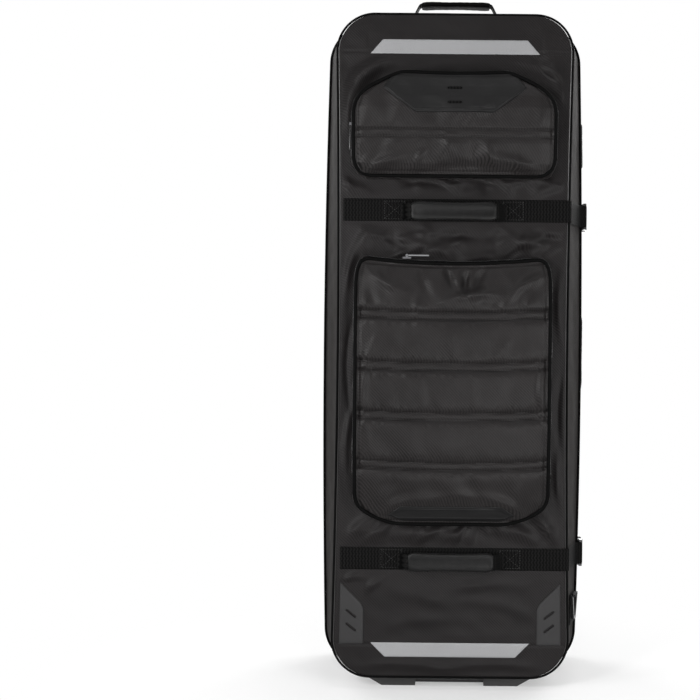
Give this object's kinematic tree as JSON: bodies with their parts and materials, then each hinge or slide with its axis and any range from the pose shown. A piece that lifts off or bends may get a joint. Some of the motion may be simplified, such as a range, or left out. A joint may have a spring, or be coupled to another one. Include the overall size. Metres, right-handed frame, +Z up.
{
  "type": "rolling equipment case",
  "caption": "Tall padded fabric rolling case with a swinging lid, two front pockets, buckled straps, a dial lock and wheels in moulded housings.",
  "frame": {"origin": "on the floor, under the middle of the standing case", "axes": "+Z up along the case's height, -Y out of the front panel with the pockets, +X to the side with the lock and the side handle"},
  "size_m": [0.4681, 0.325, 1.215],
  "materials": {
    "body_fabric": "matte",
    "pocket_fabric": "matte",
    "pad_fabric": "matte",
    "lining_fabric": "matte",
    "board_plastic": "matte",
    "piping": "satin",
    "zip_tape": "matte",
    "moulded_plastic": "satin",
    "dark_steel": "satin",
    "steel": "satin",
    "grey_rubber": "matte",
    "webbing": "satin",
    "gloss_plastic": "gloss",
    "dark_metal": "gloss",
    "silver_metal": "polished",
    "reflective_tape": "satin",
    "hub_plastic": "satin",
    "tyre_rubber": "matte",
    "dial_plastic": "satin",
    "button_plastic": "satin",
    "grip_fabric": "satin"
  },
  "bodies": {
    "case": {"base_gusset": "body_fabric", "back_panel": "body_fabric", "back_board": "board_plastic", "base_lining": "lining_fabric", "base_piping": "piping", "zip_base": "zip_tape", "back_pad": "pad_fabric", "wheel_housing_left": "moulded_plastic", "wheel_housing_right": "moulded_plastic", "housing_screws": "dark_steel", "wheel_axles": "steel", "side_feet": "grey_rubber", "base_straps": "webbing", "buckle_plugs": "gloss_plastic", "lock_body": "gloss_plastic", "zip_sliders": "dark_metal", "handle_tabs": "webbing", "d_ring_tab_upper": "webbing", "side_stud": "gloss_plastic"},
    "lid": {"front_panel": "body_fabric", "lid_gusset": "body_fabric", "lid_lining": "lining_fabric", "lid_piping": "piping", "zip_lid": "zip_tape", "lid_straps": "webbing", "buckle_sockets": "gloss_plastic", "small_pocket": "pocket_fabric", "big_pocket": "pocket_fabric", "pocket_patches": "grey_rubber", "pocket_sliders": "silver_metal", "corner_guards": "grey_rubber", "reflective_strips": "reflective_tape", "d_ring_tab_lower": "webbing", "front_foot": "moulded_plastic", "foot_screws": "dark_steel"},
    "wheel_left": {"wheel_hub_left": "hub_plastic", "wheel_tyre_left": "tyre_rubber", "wheel_bearings_left": "steel"},
    "wheel_right": {"wheel_hub_right": "hub_plastic", "wheel_tyre_right": "tyre_rubber", "wheel_bearings_right": "steel"},
    "d_ring_upper": {"d_ring_upper": "gloss_plastic"},
    "d_ring_lower": {"d_ring_lower": "gloss_plastic"},
    "buckle_arm_upper_a": {"buckle_arm_upper_a": "gloss_plastic"},
    "buckle_arm_upper_b": {"buckle_arm_upper_b": "gloss_plastic"},
    "buckle_arm_lower_a": {"buckle_arm_lower_a": "gloss_plastic"},
    "buckle_arm_lower_b": {"buckle_arm_lower_b": "gloss_plastic"},
    "zip_pull_upper": {"zip_pull_upper": "dark_metal"},
    "zip_pull_lower": {"zip_pull_lower": "dark_metal"},
    "dial_upper": {"dial_upper": "dial_plastic"},
    "dial_middle": {"dial_middle": "dial_plastic"},
    "dial_lower": {"dial_lower": "dial_plastic"},
    "lock_button": {"lock_button": "button_plastic"},
    "key_barrel": {"key_barrel": "steel"},
    "small_pocket_pull": {"small_pocket_pull": "webbing"},
    "big_pocket_pull": {"big_pocket_pull": "silver_metal"},
    "side_grip": {"side_grip": "grip_fabric"},
    "top_grip": {"top_grip": "grip_fabric"},
    "front_grip_upper": {"front_grip_upper": "grip_fabric"},
    "front_grip_lower": {"front_grip_lower": "grip_fabric"}
  },
  "joints": [
    {"name": "lid_hinge", "type": "hinge", "parent": "case", "child": "lid", "pos_m": [-0.22395, -0.008, 0.5], "axis": [0, 0, -1], "range_deg": [0, 160]},
    {"name": "wheel_left_spin", "type": "hinge", "parent": "case", "child": "wheel_left", "pos_m": [-0.2, 0.1285, 0.034], "axis": [1, 0, 0], "continuous": true},
    {"name": "wheel_right_spin", "type": "hinge", "parent": "case", "child": "wheel_right", "pos_m": [0.2, 0.1285, 0.034], "axis": [1, 0, 0], "continuous": true},
    {"name": "buckle_upper_squeeze_a", "type": "hinge", "parent": "case", "child": "buckle_arm_upper_a", "pos_m": [0.23037, 0.01222, 0.83161], "axis": [0.9998, 0.0133, 0.0117], "range_deg": [0, 4], "stiffness_Nm_per_rad": 0.6},
    {"name": "buckle_upper_squeeze_b", "type": "hinge", "parent": "case", "child": "buckle_arm_upper_b", "pos_m": [0.23071, 0.01222, 0.80261], "axis": [-0.9998, -0.0133, -0.0117], "range_deg": [0, 4], "stiffness_Nm_per_rad": 0.6},
    {"name": "buckle_lower_squeeze_a", "type": "hinge", "parent": "case", "child": "buckle_arm_lower_a", "pos_m": [0.22883, 0.01222, 0.23933], "axis": [0.9997, 0.0133, -0.0183], "range_deg": [0, 4], "stiffness_Nm_per_rad": 0.6},
    {"name": "buckle_lower_squeeze_b", "type": "hinge", "parent": "case", "child": "buckle_arm_lower_b", "pos_m": [0.2283, 0.01222, 0.21033], "axis": [-0.9997, -0.0133, 0.0183], "range_deg": [0, 4], "stiffness_Nm_per_rad": 0.6},
    {"name": "d_ring_upper_swing", "type": "hinge", "parent": "case", "child": "d_ring_upper", "pos_m": [0.22191, 0.05907, 1.02911], "axis": [0.0133, -0.9999, 0.0003], "range_deg": [0, 150]},
    {"name": "d_ring_lower_swing", "type": "hinge", "parent": "lid", "child": "d_ring_lower", "pos_m": [0.21577, -0.05481, 0.15596], "axis": [-0.2626, -0.9649, 0.002], "range_deg": [0, 150]},
    {"name": "zip_pull_upper_swing", "type": "hinge", "parent": "case", "child": "zip_pull_upper", "pos_m": [0.22535, -0.00292, 0.96112], "axis": [0.0183, 0, -0.9998], "range_deg": [0, 150]},
    {"name": "zip_pull_lower_swing", "type": "hinge", "parent": "case", "child": "zip_pull_lower", "pos_m": [0.22568, -0.00292, 0.94312], "axis": [0.0183, 0, -0.9998], "range_deg": [0, 150]},
    {"name": "dial_upper_turn", "type": "hinge", "parent": "case", "child": "dial_upper", "pos_m": [0.2244, 0.04068, 0.9591], "axis": [-0.0183, 0, 0.9998], "continuous": true},
    {"name": "dial_middle_turn", "type": "hinge", "parent": "case", "child": "dial_middle", "pos_m": [0.2246, 0.04068, 0.9481], "axis": [-0.0183, 0, 0.9998], "continuous": true},
    {"name": "dial_lower_turn", "type": "hinge", "parent": "case", "child": "dial_lower", "pos_m": [0.2248, 0.04068, 0.9371], "axis": [-0.0183, 0, 0.9998], "continuous": true},
    {"name": "lock_button_slide", "type": "slide", "parent": "case", "child": "lock_button", "axis": [-0.0133, 0.9999, -0.0002], "range_m": [0, 0.0025], "stiffness_N_per_m": 300},
    {"name": "key_turn", "type": "hinge", "parent": "case", "child": "key_barrel", "pos_m": [0.22958, 0.02513, 0.91719], "axis": [0.9997, 0.0133, 0.0183], "range_deg": [0, 90]},
    {"name": "small_pocket_pull_swing", "type": "hinge", "parent": "lid", "child": "small_pocket_pull", "pos_m": [-0.1759, -0.1287, 0.9595], "axis": [0, 1, 0], "range_deg": [0, 80]},
    {"name": "big_pocket_pull_swing", "type": "hinge", "parent": "lid", "child": "big_pocket_pull", "pos_m": [-0.07824, -0.12805, 0.7388], "axis": [0, -1, 0], "range_deg": [0, 150]},
    {"name": "side_grip_lift", "type": "slide", "parent": "case", "child": "side_grip", "axis": [0.9999, 0.0133, -0.0005], "range_m": [0, 0.012]},
    {"name": "top_grip_lift", "type": "slide", "parent": "case", "child": "top_grip", "axis": [0, 0, 1], "range_m": [0, 0.012]},
    {"name": "front_grip_upper_lift", "type": "slide", "parent": "lid", "child": "front_grip_upper", "axis": [0, -1, 0], "range_m": [0, 0.01]},
    {"name": "front_grip_lower_lift", "type": "slide", "parent": "lid", "child": "front_grip_lower", "axis": [0, -1, 0], "range_m": [0, 0.01]}
  ],
  "couplings": [
    {"joint": "buckle_upper_squeeze_b", "follows": "buckle_upper_squeeze_a", "ratio": 1},
    {"joint": "buckle_lower_squeeze_b", "follows": "buckle_lower_squeeze_a", "ratio": 1}
  ]
}
